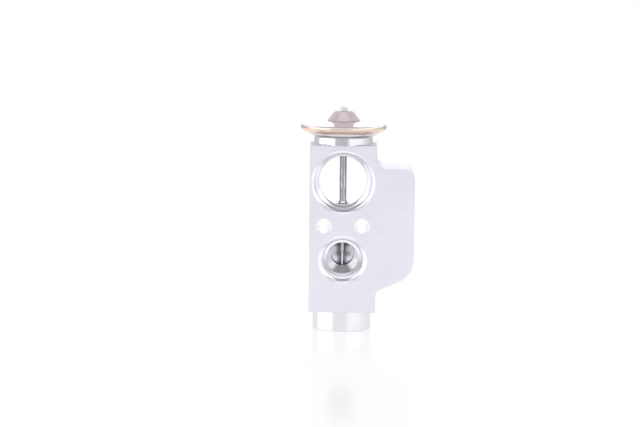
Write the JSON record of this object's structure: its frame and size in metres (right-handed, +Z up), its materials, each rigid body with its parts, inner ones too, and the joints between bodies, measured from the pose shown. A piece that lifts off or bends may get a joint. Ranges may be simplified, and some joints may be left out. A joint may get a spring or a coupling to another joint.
{
  "type": "block-type thermostatic expansion valve",
  "caption": "Machined aluminium block valve that meters refrigerant: suction bore crossed by a sensing rod, liquid ports, power head on top and adjusting screw in the foot.",
  "frame": {"origin": "the middle of the front bolting face, halfway between the two bolt holes", "axes": "+Z up along the valve's axis towards the power head, -Y out of the front bolting face, +X towards the wing"},
  "size_m": [0.0503, 0.0378, 0.0991],
  "materials": {
    "milled_aluminium": "extruded and milled, satin",
    "stainless_steel": "pressed sheet and turned bar, polished",
    "spring_steel": "rolled and drawn",
    "copper_plate": "turned steel with a thin copper plate",
    "polished_steel": "ground and polished",
    "brass": "turned",
    "green_rubber": "moulded"
  },
  "bodies": {
    "valve_block": {"valve_body": "milled_aluminium", "lower_shell": "stainless_steel", "upper_shell": "stainless_steel", "diaphragm": "spring_steel", "charge_boss": "copper_plate", "sealing_ball": "polished_steel", "head_seal": "green_rubber", "rod_seal": "green_rubber", "seal_retainer": "stainless_steel"},
    "actuator": {"diaphragm_plate": "stainless_steel", "sensing_rod": "stainless_steel", "push_pin": "polished_steel", "valve_ball": "polished_steel", "ball_carrier": "brass"},
    "screw_slide": {"screw_seal": "green_rubber", "valve_spring": "spring_steel"},
    "adjuster": {"adjusting_screw": "brass"}
  },
  "joints": [
    {"name": "valve_stroke", "type": "slide", "parent": "valve_block", "child": "actuator", "axis": [0, 0, -1], "range_m": [0, 0.0008], "stiffness_N_per_m": 1000, "springref_m": -0.0004, "deforming": ["diaphragm", "valve_spring"]},
    {"name": "screw_travel", "type": "slide", "parent": "valve_block", "child": "screw_slide", "axis": [0, 0, 1], "range_m": [-0.001, 0.001], "deforming": ["valve_spring"]},
    {"name": "screw_turn", "type": "hinge", "parent": "screw_slide", "child": "adjuster", "pos_m": [0, 0.0132, -0.0458], "axis": [0, 0, 1], "range_deg": [-360, 360]}
  ],
  "couplings": [
    {"joint": "screw_travel", "follows": "screw_turn", "m_per_rad": 0.00015915}
  ]
}
